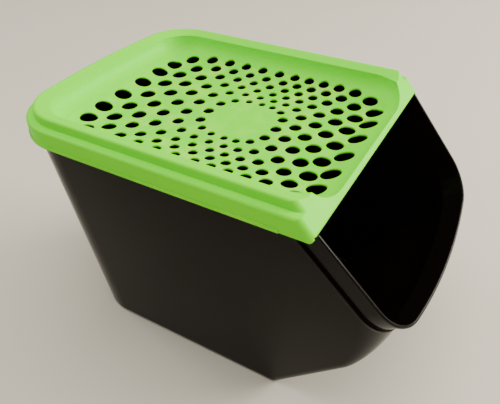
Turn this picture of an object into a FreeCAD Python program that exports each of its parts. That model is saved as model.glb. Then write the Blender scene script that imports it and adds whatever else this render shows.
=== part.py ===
"""Small open-front tub with a slanted mouth and a vented lid that lifts off.

Two injection mouldings: a drafted tub whose top and front are open, with a collar
round that opening, and a lid with a raised rim round a perforated, slightly dished
plate. Millimetres, +Z up. The mouth faces -Y. The origin is on the base plane, in the
middle of the object's bounding box.
"""
import FreeCAD, Part
import math
import os

V = FreeCAD.Vector

# ---------------------------------------------------------------- driving dimensions
# Tub, outside faces.
BASE_HALF_WIDTH = 74.5       # half width of the tub at the base plane
DRAFT = 0.0918               # outward lean of the side and back walls, mm per mm (5.2 deg)
BASE_FRONT_Y = -67.7         # where the flat base ends and the front wall starts to rise
BASE_BACK_Y = 121.6          # back wall at the base plane
TUB_TOP_Z = 180.2            # top edge of the collar, inside the lid
WALL = 2.2                   # moulded wall thickness
BACK_CORNER_R = 34.0         # rounding of the two upright back corners
BACK_BOW_R = 620.0           # plan radius of the slightly bowed back wall
FRONT_CORNER_R = 30.0        # rounding between the side walls and the mouth's lower edge
LOW_CORNER_R = 7.0           # the same rounding low down, where the front wall is straight
BASE_EDGE_R = 4.0            # rounding round the base
FRONT_BOW_R = 330.0          # radius of the bowed foot, in planes parallel to the mouth

# Mouth: a plane that leans back 48 degrees from the horizontal.
MOUTH_RUN = 0.9012           # horizontal run of the mouth plane per mm of height
MOUTH_Y = -86.4              # where the mouth plane is at MOUTH_Z
MOUTH_Z = 170.0
LIP_Y = -143.9               # middle of the mouth's bottom lip
LOW_RUN = 0.8566             # lean of the lower front wall, mm forward per mm of height
BULGE_DEPTH = 60.0           # the lower front wall curves up from here to the ridge
RIDGE_SEAT = 0.3             # the front wall meets the ridge this far outside the neck

# Collar: bands that run parallel to the open edge, by depth below that edge.
LIP_DEPTH = 2.6
NECK_DEPTH = 10.6
GROOVE_DEPTH = 13.4
RIDGE_DEPTH = 15.2
CAVITY_JOIN_DEPTH = 16.4     # the cavity of the collar meets that of the tub here
LIP_INSET = 0.0
NECK_INSET = 0.5
GROOVE_INSET = 0.9
RIDGE_INSET = -0.9
LIP_EDGE_R = 0.8
RIDGE_EDGE_R = 0.5

# Lid.
SKIRT_HALF_WIDTH = 95.0      # outer face of the skirt
SKIRT_BACK_Y = 143.3
SKIRT_CORNER_R = 40.0
SKIRT_BOTTOM_Z = 170.2
LEDGE_Z = 182.6              # flat ledge above the skirt
CREST_Z = 188.4              # top of the raised rim
STEP_INSET = 5.7             # how far the raised rim stands in from the skirt
BEAD_PROUD = 0.6             # bead along the skirt's bottom edge
BEAD_HEIGHT = 2.4
BEAD_FRONT_Y = -64.0         # the bead stops here, short of the front corners
LID_WALL = 2.0
LEDGE_EDGE_R = 2.0
CREST_EDGE_R = 1.3
FRONT_EDGE_R = 4.0           # rounding between the slanted front face and the sides
FRONT_BAR_Z = 173.2          # lower edge of the bar across the front
FRONT_BAR_THICKNESS = 3.4

# Recess in the lid: cove wall, then a shallow dish down to the flat middle.
RECESS_HALF_WIDTH = 79.6
RECESS_FRONT_Y = -84.9
RECESS_BACK_Y = 127.6
RECESS_FRONT_CORNER_R = 30.0
RECESS_BACK_CORNER_R = 26.0
INNER_CREST_Z = 185.6        # inner edge of the rim's top band, a little below the crest
COVE_R = 12.0
COVE_SLOPE = math.radians(14.0)   # slope of the dish where it meets the cove
PLATE_Z = 168.9              # top face of the plate in its middle
PLATE_THICKNESS = 1.2
DISH_RISE = 4.6              # the dish rises this much from its middle to the cove
DISH_FRONT_SHARE = 0.45      # length of the front and back slopes against the side slopes
DISH_BACK_SHARE = 0.55
RAMP_LEAD = 0.35             # share of a slope over which it turns from the cove's slope
CORNER_SLOPE = math.radians(30.0)    # steeper slope between dish and cove in the corners
CORNER_SLOPE_WIDTH = 12.0
COVE_STEPS = 4

# Vent holes: rings that change from a circle to a long rounded rectangle.
RINGS = 6
HOLES_IN_FIRST_RING = 16
HOLES_ADDED_PER_RING = 4
PATTERN_Y = 11.1             # centre of the rings
RING_SIDE = (26.7, 8.68)     # first ring's reach to the side, and the step to the next
RING_FRONT = (25.1, 10.74)
RING_BACK = (29.2, 13.72)
RING_SQUARENESS = (2.69, 0.74)    # superellipse exponent, first ring and step
PITCH_SWELL = (0.51, 0.145)  # how much wider the pitch is at the ends than at the sides
HOLE_R_SIDE = (2.8, 0.22)    # hole radius at the sides of the first ring, and step
HOLE_R_END = (4.1, 0.46)     # hole radius at the front and back of a ring

# Fits.
LID_GAP = 0.4                # clearance between the tub and the lid
OVERLAP = 0.3                # how far two cutting solids run into each other
REACH = 400.0                # larger than the object, for cutting solids
BLANK_TOP_Z = 215.0          # blanks end here, above the object
BLANK_FRONT_Y = -200.0       # the lid's blank starts here, ahead of the object
UNDER_LID_Z = 100.0          # well below the lid, for cutting solids


# ---------------------------------------------------------------- small helpers
def wire_from_edges(edges):
    return Part.Wire(Part.__sortEdges__(edges))


def prism_x(points, half_width=REACH):
    """Polygon in the YZ plane, extruded across the whole width."""
    loop = [V(-half_width, y, z) for y, z in points]
    return Part.Face(Part.makePolygon(loop + loop[:1])).extrude(V(2 * half_width, 0, 0))


def box_between(x0, x1, y0, y1, z0, z1):
    return Part.makeBox(x1 - x0, y1 - y0, z1 - z0, V(x0, y0, z0))


def mouth_y(z, depth=0.0):
    """Y of the mouth plane at a height, moved into the tub by a depth square to it."""
    return MOUTH_Y + MOUTH_RUN * (z - MOUTH_Z) + depth * math.hypot(1.0, MOUTH_RUN)


def below_opening(depth):
    """Everything further than depth inside both the top opening and the mouth plane."""
    top = TUB_TOP_Z - depth
    foot = -60.0
    return prism_x([(mouth_y(top, depth), top), (REACH, top), (REACH, foot),
                    (mouth_y(foot, depth), foot)])


def band(depth_from, depth_to):
    return below_opening(depth_from).cut(below_opening(depth_to))


# ---------------------------------------------------------------- tub
# Unit vectors in the middle plane: up along the mouth plane, and inwards square to it.
_length = math.hypot(1.0, MOUTH_RUN)
UP_Y, UP_Z = MOUTH_RUN / _length, 1.0 / _length
IN_Y, IN_Z = 1.0 / _length, -MOUTH_RUN / _length
LIP_Z = MOUTH_Z + (LIP_Y - MOUTH_Y) / MOUTH_RUN


def foot_line(depth):
    """Straight lower front wall: distance below the lip's level, along the mouth plane."""
    base_depth = (BASE_FRONT_Y - mouth_y(0.0)) / math.hypot(1.0, MOUTH_RUN)
    base_foot = (BASE_FRONT_Y - LIP_Y) * UP_Y - LIP_Z * UP_Z
    rise = (-LOW_RUN * UP_Y + UP_Z) / (-LOW_RUN * IN_Y + IN_Z)
    return base_foot + rise * (depth - base_depth)


def foot_curve(depth):
    """Lower front wall: an arc that leaves the straight part and rises to the ridge."""
    slope = (foot_line(1.0) - foot_line(0.0))
    end = foot_line(BULGE_DEPTH)
    chord = math.hypot(BULGE_DEPTH - RIDGE_DEPTH, -RIDGE_SEAT - end)
    turn = math.atan2(-RIDGE_SEAT - end, BULGE_DEPTH - RIDGE_DEPTH) + math.atan(slope)
    radius = chord / (2.0 * math.sin(turn))
    centre_depth = BULGE_DEPTH - radius * math.sin(math.atan(slope))
    centre_foot = end + radius * math.cos(math.atan(slope))
    return centre_foot - math.sqrt(radius ** 2 - (depth - centre_depth) ** 2)


def low_corner(depth):
    """Corner radius below the ridge: it tightens from the ridge to the straight wall."""
    share = min((depth - RIDGE_DEPTH) / (BULGE_DEPTH - RIDGE_DEPTH), 1.0)
    share = share * share * (3.0 - 2.0 * share)
    return FRONT_CORNER_R + (LOW_CORNER_R - FRONT_CORNER_R) * share


def mouth_section(depth, foot, inset, corner=FRONT_CORNER_R):
    """Outline of the tub in a plane parallel to the mouth, lower corners rounded."""
    def at(x, v):
        return V(x, LIP_Y + UP_Y * v + IN_Y * depth, LIP_Z + UP_Z * v + IN_Z * depth)

    foot += inset
    corner_r = corner - inset
    lean = DRAFT * UP_Z
    square = math.hypot(1.0, lean)
    side = BASE_HALF_WIDTH + DRAFT * (LIP_Z + IN_Z * depth) - inset * square
    # Centre of the corner arc: corner_r inside both the side line and the bowed foot.
    gap = side - corner_r * square
    bow_centre = foot + FRONT_BOW_R
    reach = FRONT_BOW_R - corner_r
    a = 1.0 + lean ** 2
    b = 2.0 * (gap * lean - bow_centre)
    c = gap ** 2 + bow_centre ** 2 - reach ** 2
    cv = (-b - math.sqrt(b * b - 4.0 * a * c)) / (2.0 * a)
    cx = gap + lean * cv
    side_x, side_v = cx + corner_r / square, cv - corner_r * lean / square
    to_bow = math.hypot(cx, cv - bow_centre)
    foot_x = cx + corner_r * cx / to_bow
    foot_v = cv + corner_r * (cv - bow_centre) / to_bow
    mid_x, mid_v = 0.5 * (side_x + foot_x) - cx, 0.5 * (side_v + foot_v) - cv
    stretch = corner_r / math.hypot(mid_x, mid_v)
    mid_x, mid_v = cx + mid_x * stretch, cv + mid_v * stretch
    top_v = 340.0
    top_x = side + lean * top_v
    return Part.Wire([
        Part.makeLine(at(-top_x, top_v), at(-side_x, side_v)),
        Part.Arc(at(-side_x, side_v), at(-mid_x, mid_v), at(-foot_x, foot_v)).toShape(),
        Part.Arc(at(-foot_x, foot_v), at(0, foot), at(foot_x, foot_v)).toShape(),
        Part.Arc(at(foot_x, foot_v), at(mid_x, mid_v), at(side_x, side_v)).toShape(),
        Part.makeLine(at(side_x, side_v), at(top_x, top_v)),
        Part.makeLine(at(top_x, top_v), at(-top_x, top_v))])


def back_limit(inset, z_low, z_high):
    """Space in front of the drafted, slightly bowed back wall."""
    def back(z):
        return BASE_BACK_Y + DRAFT * z - inset * math.hypot(1.0, DRAFT)
    axis_y = BASE_BACK_Y - BACK_BOW_R
    low = V(0, back(z_low), z_low)
    high = V(0, back(z_high), z_high)
    loop = [V(0, axis_y, z_low), low, high, V(0, axis_y, z_high)]
    face = Part.Face(Part.makePolygon(loop + loop[:1]))
    return face.revolve(V(0, axis_y, 0), V(0, 0, 1), 360)


def edges_where(shape, test):
    return [edge for edge in shape.Edges if test(edge)]


def round_back(solid, inset):
    rear = edges_where(solid, lambda e: e.BoundBox.ZLength > 60 and e.BoundBox.Center.y > 60)
    return solid.makeFillet(BACK_CORNER_R - inset, rear)


def tub_body(inset):
    """Form of the tub below its collar, moved inwards by inset."""
    steps = 8
    depths = [RIDGE_DEPTH + (BULGE_DEPTH - RIDGE_DEPTH) * i / steps for i in range(steps + 1)]
    bulge = Part.makeLoft([mouth_section(d, foot_curve(d), inset, low_corner(d))
                           for d in depths], True, False)
    far = 330.0
    straight = Part.makeLoft([mouth_section(d, foot_line(d), inset, LOW_CORNER_R)
                              for d in (BULGE_DEPTH, far)], True, True)
    solid = bulge.fuse(straight)
    solid = solid.common(back_limit(inset, inset, BLANK_TOP_Z)).removeSplitter()
    solid = round_back(solid, inset)
    rim = edges_where(solid, lambda e: e.BoundBox.ZMax < inset + 0.01)
    return solid.makeFillet(BASE_EDGE_R - inset * 0.8, rim)


def tub_neck(inset):
    """Form of the collar, which runs square to the mouth plane, moved inwards."""
    solid = Part.makeLoft([mouth_section(d, 0.0, inset) for d in (-60.0, 260.0)], True, True)
    front = box_between(-REACH, REACH, -REACH, 0.0, -REACH, BLANK_TOP_Z)
    solid = solid.common(back_limit(inset, UNDER_LID_Z - inset, BLANK_TOP_Z).fuse(front))
    return round_back(solid.removeSplitter(), inset)


def round_collar(shell):
    """Roll over the edges of the lip and the upper edge of the ridge, round the mouth."""
    for depth, inset, radius in ((0.0, LIP_INSET, LIP_EDGE_R), (0.0, WALL, LIP_EDGE_R),
                                 (LIP_DEPTH, LIP_INSET, 0.5 * LIP_EDGE_R),
                                 (GROOVE_DEPTH, RIDGE_INSET, RIDGE_EDGE_R)):
        outline = mouth_section(depth, 0.0, inset)

        def on_outline(edge):
            middle = edge.valueAt(0.5 * (edge.FirstParameter + edge.LastParameter))
            return edge.Length > 5.0 and outline.distToShape(Part.Vertex(middle))[0] < 0.02

        shell = shell.makeFillet(radius, edges_where(shell, on_outline))
    return shell


def make_tub():
    outer = tub_body(0.0).common(below_opening(RIDGE_DEPTH))
    bands = [(0.0, LIP_DEPTH, LIP_INSET), (LIP_DEPTH, NECK_DEPTH, NECK_INSET),
             (NECK_DEPTH, GROOVE_DEPTH, GROOVE_INSET), (GROOVE_DEPTH, RIDGE_DEPTH, RIDGE_INSET)]
    for top, bottom, inset in bands:
        outer = outer.fuse(tub_neck(inset).common(band(top, bottom)))
    cavity = tub_body(WALL).common(below_opening(CAVITY_JOIN_DEPTH))
    cavity = cavity.fuse(tub_neck(WALL).common(band(-3.0, CAVITY_JOIN_DEPTH)))
    shell = outer.cut(cavity).removeSplitter()
    shell = round_collar(shell)
    # The side walls step back under the bar that crosses the front of the lid.
    ahead = box_between(-REACH, REACH, -REACH, 0.0, FRONT_BAR_Z - LID_GAP, REACH)
    return shell.cut(ahead.cut(behind_mouth(FRONT_BAR_THICKNESS + LID_GAP, UNDER_LID_Z)))


# ---------------------------------------------------------------- lid
def rounded_outline(half_width, front, back, front_r, back_r, z):
    """Closed plan outline: straight sides, rounded corners, slightly bowed back edge."""
    bow = half_width - back_r
    sag = bow * bow / (2.0 * BACK_BOW_R)
    start = V(-half_width, front + front_r, z)
    side_top = V(-half_width, back - sag - back_r, z)
    back_left = V(-bow, back - sag, z)
    corner = V(-half_width + back_r * (1 - math.sqrt(0.5)),
               back - sag - back_r * (1 - math.sqrt(0.5)), z)

    def mirrored(point):
        return V(-point.x, point.y, point.z)

    edges = [Part.makeLine(start, side_top),
             Part.Arc(side_top, corner, back_left).toShape(),
             Part.Arc(back_left, V(0, back, z), mirrored(back_left)).toShape(),
             Part.Arc(mirrored(back_left), mirrored(corner), mirrored(side_top)).toShape(),
             Part.makeLine(mirrored(side_top), mirrored(start))]
    if front_r > 0:
        front_left = V(-half_width + front_r, front, z)
        knuckle = V(-half_width + front_r * (1 - math.sqrt(0.5)),
                    front + front_r * (1 - math.sqrt(0.5)), z)
        edges += [Part.Arc(mirrored(start), mirrored(knuckle), mirrored(front_left)).toShape(),
                  Part.makeLine(mirrored(front_left), front_left),
                  Part.Arc(front_left, knuckle, start).toShape()]
    else:
        edges.append(Part.makeLine(mirrored(start), start))
    return Part.Face(wire_from_edges(edges))


def lid_plan(inset, z0, z1):
    """Column over the lid's plan, moved inwards by inset; it runs past the front."""
    outline = rounded_outline(SKIRT_HALF_WIDTH - inset, BLANK_FRONT_Y, SKIRT_BACK_Y - inset,
                              0.0, SKIRT_CORNER_R - inset, z0)
    return outline.extrude(V(0, 0, z1 - z0))


def round_top(solid, z, radius):
    rim = edges_where(solid, lambda e: e.BoundBox.ZMin > z - 0.01 and e.BoundBox.ZMax < z + 0.01
                      and e.BoundBox.YMax > BLANK_FRONT_Y + 10.0)
    return solid.makeFillet(radius, rim)


def eased_front(half_width, radius):
    """Space behind the mouth plane, with its two front edges rounded all the way up."""
    def at(x, depth):
        return V(x, LIP_Y + IN_Y * depth - UP_Y * REACH, LIP_Z + IN_Z * depth - UP_Z * REACH)

    side, diagonal = half_width - radius, radius * math.sqrt(0.5)
    edges = [Part.makeLine(at(half_width, REACH), at(half_width, radius)),
             Part.Arc(at(half_width, radius), at(side + diagonal, radius - diagonal),
                      at(side, 0)).toShape(),
             Part.makeLine(at(side, 0), at(-side, 0)),
             Part.Arc(at(-side, 0), at(-side - diagonal, radius - diagonal),
                      at(-half_width, radius)).toShape(),
             Part.makeLine(at(-half_width, radius), at(-half_width, REACH)),
             Part.makeLine(at(-half_width, REACH), at(half_width, REACH))]
    return Part.Face(wire_from_edges(edges)).extrude(V(0, UP_Y, UP_Z) * (2 * REACH))


def lid_block(inset, front_r=0.0):
    """Skirt, ledge and raised rim as a full solid, moved inwards by inset."""
    low = lid_plan(inset, SKIRT_BOTTOM_Z - (4.0 if inset else 0.0), LEDGE_Z - inset)
    high = lid_plan(inset + STEP_INSET, LEDGE_Z - inset - 4.0, CREST_Z - inset)
    low = round_top(low, LEDGE_Z - inset, LEDGE_EDGE_R - min(inset, 1.2))
    high = round_top(high, CREST_Z - inset, CREST_EDGE_R - min(inset, 0.8))
    if front_r > 0.0:
        low = low.common(eased_front(SKIRT_HALF_WIDTH, front_r))
        high = high.common(eased_front(SKIRT_HALF_WIDTH - STEP_INSET, front_r))
    return low.fuse(high)


def recess_outline(inset, z):
    """Plan outline of the recess, moved inwards by inset."""
    return rounded_outline(RECESS_HALF_WIDTH - inset, RECESS_FRONT_Y + inset,
                           RECESS_BACK_Y - inset, RECESS_FRONT_CORNER_R - inset,
                           RECESS_BACK_CORNER_R - inset, z)


def cove_start_inset():
    return COVE_R * (1.0 - math.sin(COVE_SLOPE))


def trough(across, grow):
    """Long groove with a flat floor between two gentle ramps; a pair makes the dish."""
    floor_z = PLATE_Z - grow
    edge = cove_start_inset() - OVERLAP
    run = 2.0 * DISH_RISE / math.tan(COVE_SLOPE)
    if across:
        ends = (RECESS_FRONT_Y + edge, RECESS_BACK_Y - edge)
        runs = (DISH_FRONT_SHARE * run, DISH_BACK_SHARE * run)
    else:
        ends = (-RECESS_HALF_WIDTH + edge, RECESS_HALF_WIDTH - edge)
        runs = (run, run)

    def at(u, z):
        return V(-REACH, u, z) if across else V(u, -REACH, z)

    def ramp(end, length):
        """Curve that leaves the cove at its slope and runs out level with the floor."""
        top = floor_z + DISH_RISE
        lead = RAMP_LEAD * length
        curve = Part.BezierCurve()
        curve.setPoles([at(end, top), at(end + lead, top - abs(lead) * math.tan(COVE_SLOPE)),
                        at(end + length - lead, floor_z), at(end + length, floor_z)])
        return curve

    ramp_a, ramp_b = ramp(ends[0], runs[0]), ramp(ends[1], -runs[1])
    a_top, a_low = ramp_a.getPole(1), ramp_a.getPole(4)
    b_top, b_low = ramp_b.getPole(1), ramp_b.getPole(4)
    overlap = V(0, 0, OVERLAP)
    edges = [ramp_a.toShape(), Part.makeLine(a_low, b_low),
             ramp_b.toShape(), Part.makeLine(b_top, b_top + overlap),
             Part.makeLine(b_top + overlap, a_top + overlap),
             Part.makeLine(a_top + overlap, a_top)]
    return Part.Face(wire_from_edges(edges)).extrude(V(2 * REACH, 0, 0) if across
                                                     else V(0, 2 * REACH, 0))


def corner_slopes(grow):
    """Tapered column that limits the dish, so that it meets the cove in the corners."""
    top = PLATE_Z + DISH_RISE - grow
    fall = math.tan(CORNER_SLOPE)
    wide = recess_outline(cove_start_inset() - OVERLAP / fall, top + OVERLAP)
    narrow = recess_outline(cove_start_inset() + CORNER_SLOPE_WIDTH,
                            top - CORNER_SLOPE_WIDTH * fall)
    return Part.makeLoft([wide.OuterWire, narrow.OuterWire], True, True)


def recess(grow):
    """Hollow of the lid: coved walls above a shallow dish; grow gives its underside."""
    edge_z = PLATE_Z + DISH_RISE
    centre_z = edge_z + COVE_R * math.cos(COVE_SLOPE)
    radius = COVE_R + grow
    sections = []
    for i in range(COVE_STEPS + 1):
        angle = COVE_SLOPE + (0.5 * math.pi - COVE_SLOPE) * i / COVE_STEPS
        outline = recess_outline(COVE_R - radius * math.sin(angle),
                                 centre_z - radius * math.cos(angle))
        sections.append(outline.OuterWire)
    cove = Part.makeLoft(sections, True, False)
    walls = recess_outline(-grow, centre_z).extrude(V(0, 0, 40.0))
    dish = trough(True, grow).common(trough(False, grow)).common(corner_slopes(grow))
    return dish.fuse([cove, walls])


def ring_points(ring):
    """Hole centres and radii of one ring; pitch and holes both swell at its ends."""
    count = HOLES_IN_FIRST_RING + HOLES_ADDED_PER_RING * ring
    side = RING_SIDE[0] + RING_SIDE[1] * ring
    front = RING_FRONT[0] + RING_FRONT[1] * ring
    back = RING_BACK[0] + RING_BACK[1] * ring
    power = 2.0 / (RING_SQUARENESS[0] + RING_SQUARENESS[1] * ring)
    swell = PITCH_SWELL[0] + PITCH_SWELL[1] * ring
    side_r = HOLE_R_SIDE[0] + HOLE_R_SIDE[1] * ring
    end_r = HOLE_R_END[0] + HOLE_R_END[1] * ring

    # Walk a quarter of the unit superellipse from the end axis to the side axis.
    steps = 400
    walk = [0.0]
    spots = [(0.0, 1.0)]
    for i in range(1, steps + 1):
        t = 0.5 * math.pi * i / steps
        spot = (math.sin(t) ** power, max(math.cos(t), 0.0) ** power)
        last = spots[-1]
        to_end = math.cos(math.atan2(0.5 * (spot[0] + last[0]), 0.5 * (spot[1] + last[1])))
        pitch = 1.0 + swell * to_end ** 4
        walk.append(walk[-1] + math.hypot(spot[0] - last[0], spot[1] - last[1]) / pitch)
        spots.append(spot)

    def at_share(share):
        goal = share * walk[-1]
        i = next(k for k in range(1, steps + 1) if walk[k] >= goal - 1e-9)
        mix = (goal - walk[i - 1]) / (walk[i] - walk[i - 1])
        return tuple(a + (b - a) * mix for a, b in zip(spots[i - 1], spots[i]))

    offset = 0.0 if ring % 2 == 0 else 0.5
    holes = []
    for k in range(count):
        share = (k + offset) / (count / 4.0)
        quarter = int(share)
        part = share - quarter
        across, along = at_share(part if quarter % 2 == 0 else 1.0 - part)
        x = across * (side if quarter < 2 else -side)
        y = along * (-front if quarter in (0, 3) else back)
        holes.append((x, PATTERN_Y + y, side_r + (end_r - side_r) * along ** 3))
    return holes


def behind_mouth(depth, low_z):
    """Space behind the slanted front face of the lid, set back by depth."""
    top = CREST_Z + 30.0
    return prism_x([(mouth_y(top, depth), top), (REACH, top), (REACH, low_z),
                    (mouth_y(low_z, depth), low_z)])


def rim_funnel():
    """Cutter for the rim's top band, which falls gently from its crest to the recess."""
    wires = []
    for inset, z in ((SKIRT_HALF_WIDTH - RECESS_HALF_WIDTH + 1.0, INNER_CREST_Z),
                     (STEP_INSET + CREST_EDGE_R, CREST_Z + 0.2)):
        outline = rounded_outline(SKIRT_HALF_WIDTH - inset, BLANK_FRONT_Y,
                                  SKIRT_BACK_Y - inset, 0.0, SKIRT_CORNER_R - inset, z)
        wires.append(outline.OuterWire)
    return Part.makeLoft(wires, True, True)


def front_undercut():
    """Space under the front bar; the skirt's lower front corners round up to it."""
    radius = FRONT_BAR_Z - SKIRT_BOTTOM_Z
    front = mouth_y(FRONT_BAR_Z)
    centre_y = front + radius
    diagonal = radius * math.sqrt(0.5)
    top, knuckle, low = [V(-REACH, y, z) for y, z in (
        (front, FRONT_BAR_Z), (centre_y - diagonal, FRONT_BAR_Z - diagonal),
        (centre_y, SKIRT_BOTTOM_Z))]
    ahead, below = V(-REACH, -REACH, FRONT_BAR_Z), V(-REACH, -REACH, UNDER_LID_Z)
    behind = V(-REACH, centre_y, UNDER_LID_Z)
    edges = [Part.Arc(top, knuckle, low).toShape(), Part.makeLine(low, behind),
             Part.makeLine(behind, below), Part.makeLine(below, ahead),
             Part.makeLine(ahead, top)]
    return Part.Face(wire_from_edges(edges)).extrude(V(2 * REACH, 0, 0))


def make_lid():
    pan = recess(PLATE_THICKNESS).common(box_between(-REACH, REACH, -REACH, REACH, 0,
                                                     INNER_CREST_Z))
    block = lid_block(0.0, FRONT_EDGE_R)
    bead = lid_plan(-BEAD_PROUD, SKIRT_BOTTOM_Z, SKIRT_BOTTOM_Z + BEAD_HEIGHT)
    block = block.fuse(bead.common(box_between(-REACH, REACH, BEAD_FRONT_Y, REACH, 0, REACH)))
    # A bar is left across the front, above the top of the mouth.
    below_bar = box_between(-REACH, REACH, -REACH, 0.0, 0.0, FRONT_BAR_Z)
    inside = behind_mouth(FRONT_BAR_THICKNESS, UNDER_LID_Z).fuse(below_bar)
    under_band = rim_funnel()
    under_band.translate(V(0, 0, -LID_WALL))
    hollow = lid_block(LID_WALL).common(inside).cut([pan, under_band])
    shell = block.cut(rim_funnel()).fuse(pan).cut(hollow).cut(recess(0.0))
    shell = shell.common(behind_mouth(0.0, UNDER_LID_Z))
    shell = shell.cut(front_undercut())
    drills = [Part.makeCylinder(radius, 40.0, V(x, y, 150.0))
              for ring in range(RINGS) for x, y, radius in ring_points(ring)]
    return shell.cut(drills).removeSplitter()


def main():
    os.makedirs("parts", exist_ok=True)
    for name, shape in (("tub", make_tub()), ("vented_lid", make_lid())):
        shape.exportStep("parts/" + name + ".step")
        print(name, "valid", shape.isValid(), "solids", len(shape.Solids),
              "volume cm3", round(shape.Volume / 1000.0, 1))


main()
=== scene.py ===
import math

import bpy
from mathutils import Euler, Matrix, Vector


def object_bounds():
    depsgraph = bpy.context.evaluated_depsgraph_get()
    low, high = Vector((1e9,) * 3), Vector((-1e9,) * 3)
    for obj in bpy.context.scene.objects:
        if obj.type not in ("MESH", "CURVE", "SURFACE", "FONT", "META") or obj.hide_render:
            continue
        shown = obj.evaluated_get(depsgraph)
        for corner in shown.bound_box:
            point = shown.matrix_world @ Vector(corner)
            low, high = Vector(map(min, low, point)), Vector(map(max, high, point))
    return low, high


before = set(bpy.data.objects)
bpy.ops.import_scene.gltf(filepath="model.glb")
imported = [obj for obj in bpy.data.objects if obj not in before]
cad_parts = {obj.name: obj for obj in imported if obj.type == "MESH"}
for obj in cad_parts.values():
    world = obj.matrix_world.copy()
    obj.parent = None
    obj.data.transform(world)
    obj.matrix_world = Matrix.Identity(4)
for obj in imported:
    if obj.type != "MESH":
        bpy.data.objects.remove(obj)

cad_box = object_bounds()

# Looks of the open-front box: two moulded plastics, a pale floor, soft lights and a camera.

# ---------------------------------------------------------------- shared values
MM = 0.001
CENTRE = (cad_box[0] + cad_box[1]) / 2

# Base colours: fresh lid plastic in two tones, a paler lime that paints a highlight on its convex
# edges, tub plastic and dust on it.
LIME = (0.165, 0.840, 0.000, 1.0)
LIME_PALE = (0.190, 0.870, 0.001, 1.0)
LIME_EDGE_HIGHLIGHT = (0.360, 0.920, 0.040, 1.0)
BLACK = (0.0046, 0.0030, 0.0022, 1.0)
BLACK_DUSTY = (0.0220, 0.0180, 0.0150, 1.0)

# Floor that curves up into a wall: lengths in metres, and its turn in degrees, which is
# close to the camera's heading, so that the wall stands behind the object.
FLOOR_HALF = 6.0
FLOOR_TURN = -60.0
BEND_START = 4.0
BEND_RADIUS = 2.0
BEND_STEPS = 12
FLOOR_TONES = ((0.64, 0.58, 0.50, 1.0), (0.68, 0.62, 0.54, 1.0))

# Camera: place in metres, angles in degrees, sensor and lens in millimetres.
CAMERA_PLACE = (-0.27507, -0.1492, 0.34768)
CAMERA_HEADING = -60.504
CAMERA_FALL = 38.317
CAMERA_ROLL = -0.324
SENSOR_WIDTH = 36.0
LENS = 37.2


# ---------------------------------------------------------------- material helpers
class Nodes:
    """Short way to add and join the nodes of one material."""

    def __init__(self, name):
        self.material = bpy.data.materials.new(name)
        self.material.use_nodes = True
        self.tree = self.material.node_tree
        self.shader = self.tree.nodes["Principled BSDF"]

    def add(self, kind, **settings):
        node = self.tree.nodes.new(kind)
        for key, value in settings.items():
            setattr(node, key, value)
        return node

    def join(self, source, target):
        self.tree.links.new(source, target)

    def object_space(self):
        return self.add("ShaderNodeTexCoord").outputs["Object"]

    def noise(self, scale, detail=4.0, rough=0.55, stretch=(1.0, 1.0, 1.0)):
        """Noise in object space, at a scale in waves per metre."""
        mapping = self.add("ShaderNodeMapping")
        mapping.inputs["Scale"].default_value = stretch
        self.join(self.object_space(), mapping.inputs["Vector"])
        node = self.add("ShaderNodeTexNoise")
        node.inputs["Scale"].default_value = scale
        node.inputs["Detail"].default_value = detail
        node.inputs["Roughness"].default_value = rough
        self.join(mapping.outputs["Vector"], node.inputs["Vector"])
        return node.outputs["Fac"]

    def ramp(self, value, low, high, to_low=0.0, to_high=1.0):
        node = self.add("ShaderNodeMapRange")
        for key, number in (("From Min", low), ("From Max", high),
                            ("To Min", to_low), ("To Max", to_high)):
            node.inputs[key].default_value = number
        self.join(value, node.inputs["Value"])
        return node.outputs["Result"]

    def mix(self, factor, colour_a, colour_b):
        node = self.add("ShaderNodeMix", data_type="RGBA")
        self.join(factor, node.inputs["Factor"])
        for key, colour in (("A", colour_a), ("B", colour_b)):
            socket = next(s for s in node.inputs if s.name == key and s.type == "RGBA")
            if isinstance(colour, tuple):
                socket.default_value = colour
            else:
                self.join(colour, socket)
        return next(s for s in node.outputs if s.type == "RGBA")

    def times(self, a, b):
        node = self.add("ShaderNodeMath", operation="MULTIPLY")
        self.join(a, node.inputs[0])
        self.join(b, node.inputs[1])
        return node.outputs["Value"]

    def soft_edges(self, radius):
        """Normal that rounds every sharp edge over a radius in metres."""
        node = self.add("ShaderNodeBevel", samples=8)
        node.inputs["Radius"].default_value = radius
        return node.outputs["Normal"]

    def bump(self, height, distance, strength=1.0, normal=None):
        node = self.add("ShaderNodeBump")
        node.inputs["Distance"].default_value = distance
        node.inputs["Strength"].default_value = strength
        self.join(height, node.inputs["Height"])
        if normal is not None:
            self.join(normal, node.inputs["Normal"])
        return node.outputs["Normal"]


def edge_highlight(nodes, low, high):
    """Up to 1 on convex edges and 0 elsewhere, broken up by noise: the mask of a painted highlight
    along edges.
    """
    geometry = nodes.add("ShaderNodeNewGeometry")
    edges = nodes.ramp(geometry.outputs["Pointiness"], low, high)
    return nodes.times(edges, nodes.ramp(nodes.noise(60.0), 0.45, 0.65))


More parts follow.
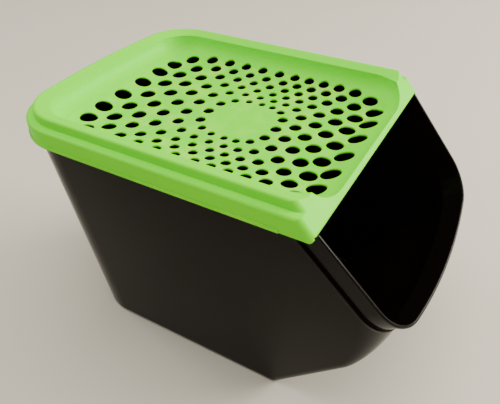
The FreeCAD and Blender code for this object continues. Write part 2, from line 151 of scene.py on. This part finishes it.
def lid_plastic():
    """Lime green polypropylene with a fine satin grain."""
    nodes = Nodes("lid_plastic")
    tone = nodes.mix(nodes.ramp(nodes.noise(9.0, detail=2.0), 0.35, 0.65), LIME, LIME_PALE)
    # Convex edges are painted a paler lime: a painted highlight along the crests and hole rims.
    colour = nodes.mix(edge_highlight(nodes, 0.56, 0.66), tone, LIME_EDGE_HIGHLIGHT)
    nodes.join(colour, nodes.shader.inputs["Base Color"])
    streaks = nodes.noise(70.0, stretch=(1.0, 0.25, 1.0))
    nodes.join(nodes.ramp(streaks, 0.3, 0.7, 0.38, 0.50), nodes.shader.inputs["Roughness"])
    grain = nodes.bump(nodes.noise(2600.0, detail=2.0), 0.02 * MM, 0.5,
                       nodes.soft_edges(1.1 * MM))
    nodes.join(nodes.bump(nodes.noise(14.0, detail=1.0), 0.12 * MM, 0.4, grain),
               nodes.shader.inputs["Normal"])
    nodes.shader.inputs["IOR"].default_value = 1.49
    nodes.shader.inputs["Specular IOR Level"].default_value = 0.12
    nodes.shader.inputs["Subsurface Weight"].default_value = 0.12
    nodes.shader.inputs["Subsurface Radius"].default_value = (0.4, 1.0, 0.1)
    nodes.shader.inputs["Subsurface Scale"].default_value = 1.2 * MM
    return nodes.material


def tub_plastic():
    """Near-black polypropylene with a soft gloss, faint scuffs and dust."""
    nodes = Nodes("tub_plastic")
    dust = nodes.times(nodes.ramp(nodes.noise(900.0, detail=2.0), 0.66, 0.74),
                       nodes.ramp(nodes.noise(14.0), 0.45, 0.7))
    colour = nodes.mix(dust, BLACK, BLACK_DUSTY)
    nodes.join(colour, nodes.shader.inputs["Base Color"])
    scuffs = nodes.noise(45.0, detail=6.0, stretch=(1.0, 0.4, 1.6))
    nodes.join(nodes.ramp(scuffs, 0.3, 0.75, 0.12, 0.24), nodes.shader.inputs["Roughness"])
    grain = nodes.bump(nodes.noise(1800.0, detail=2.0), 0.008 * MM, 0.5,
                       nodes.soft_edges(0.5 * MM))
    nodes.join(nodes.bump(nodes.noise(11.0, detail=1.0), 0.35 * MM, 0.5, grain),
               nodes.shader.inputs["Normal"])
    nodes.shader.inputs["IOR"].default_value = 1.46
    nodes.shader.inputs["Specular IOR Level"].default_value = 0.09
    return nodes.material


def give_material(piece, material):
    """Fill the object's material slot; its mesh stays as it is."""
    piece.data.materials.clear()
    piece.data.materials.append(material)


# ---------------------------------------------------------------- stage
def make_floor():
    """Pale floor that curves up into a backdrop far behind the object."""
    mesh = bpy.data.meshes.new("floor")
    profile = [(-FLOOR_HALF, 0.0), (BEND_START, 0.0)]
    for i in range(1, BEND_STEPS + 1):
        angle = 0.5 * math.pi * i / BEND_STEPS
        profile.append((BEND_START + BEND_RADIUS * math.sin(angle),
                        BEND_RADIUS * (1 - math.cos(angle))))
    profile.append((BEND_START + BEND_RADIUS, FLOOR_HALF))
    points = [(x, y, z) for y, z in profile for x in (-FLOOR_HALF, FLOOR_HALF)]
    faces = [(2 * i, 2 * i + 1, 2 * i + 3, 2 * i + 2) for i in range(len(profile) - 1)]
    mesh.from_pydata(points, [], faces)
    mesh.polygons.foreach_set("use_smooth", [True] * len(faces))
    floor = bpy.data.objects.new("floor", mesh)
    bpy.context.scene.collection.objects.link(floor)
    floor.rotation_euler = Euler((0.0, 0.0, math.radians(FLOOR_TURN)))
    nodes = Nodes("floor_paint")
    colour = nodes.mix(nodes.noise(3.0), *FLOOR_TONES)
    nodes.join(colour, nodes.shader.inputs["Base Color"])
    nodes.shader.inputs["Roughness"].default_value = 0.6
    give_material(floor, nodes.material)


def aim(obj, target):
    direction = target - obj.location
    obj.rotation_euler = direction.to_track_quat("-Z", "Y").to_euler()


def area_light(name, where, size, power, colour):
    """Rectangular light at a place measured from the object's centre, turned towards it."""
    light = bpy.data.lights.new(name, "AREA")
    light.shape = "RECTANGLE"
    light.size, light.size_y = size
    light.energy = power
    light.color = colour
    lamp = bpy.data.objects.new(name, light)
    bpy.context.scene.collection.objects.link(lamp)
    lamp.location = CENTRE + Vector(where)
    aim(lamp, CENTRE)


def make_lights():
    """Soft window light on the mouth and the back, a large soft light above, pale surroundings."""
    area_light("front_window", (1.10, -1.45, 0.75), (1.2, 0.9), 64.0, (1.0, 1.0, 0.88))
    area_light("back_window", (-0.2, 1.6, 1.7), (0.8, 0.6), 16.0, (0.97, 1.0, 0.92))
    area_light("overhead", (0.0, -0.2, 2.2), (1.8, 1.8), 38.0, (1.0, 1.0, 0.88))
    world = bpy.data.worlds.new("studio")
    bpy.context.scene.world = world
    world.use_nodes = True
    background = world.node_tree.nodes["Background"]
    background.inputs["Color"].default_value = (1.0, 0.97, 0.90, 1.0)
    background.inputs["Strength"].default_value = 0.50


def make_camera():
    """Camera on the -X side of the mouth, above it, looking down at the lid."""
    data = bpy.data.cameras.new("camera")
    data.sensor_width = SENSOR_WIDTH
    data.lens = LENS
    camera = bpy.data.objects.new("camera", data)
    bpy.context.scene.collection.objects.link(camera)
    fall = math.radians(CAMERA_FALL)
    turn = Euler((0.5 * math.pi - fall, 0.0, math.radians(CAMERA_HEADING))).to_matrix()
    turn = turn @ Matrix.Rotation(math.radians(CAMERA_ROLL), 3, "Z")
    camera.matrix_world = Matrix.Translation(Vector(CAMERA_PLACE)) @ turn.to_4x4()
    bpy.context.scene.camera = camera


give_material(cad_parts["vented_lid"], lid_plastic())
give_material(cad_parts["tub"], tub_plastic())
make_floor()
make_lights()
make_camera()
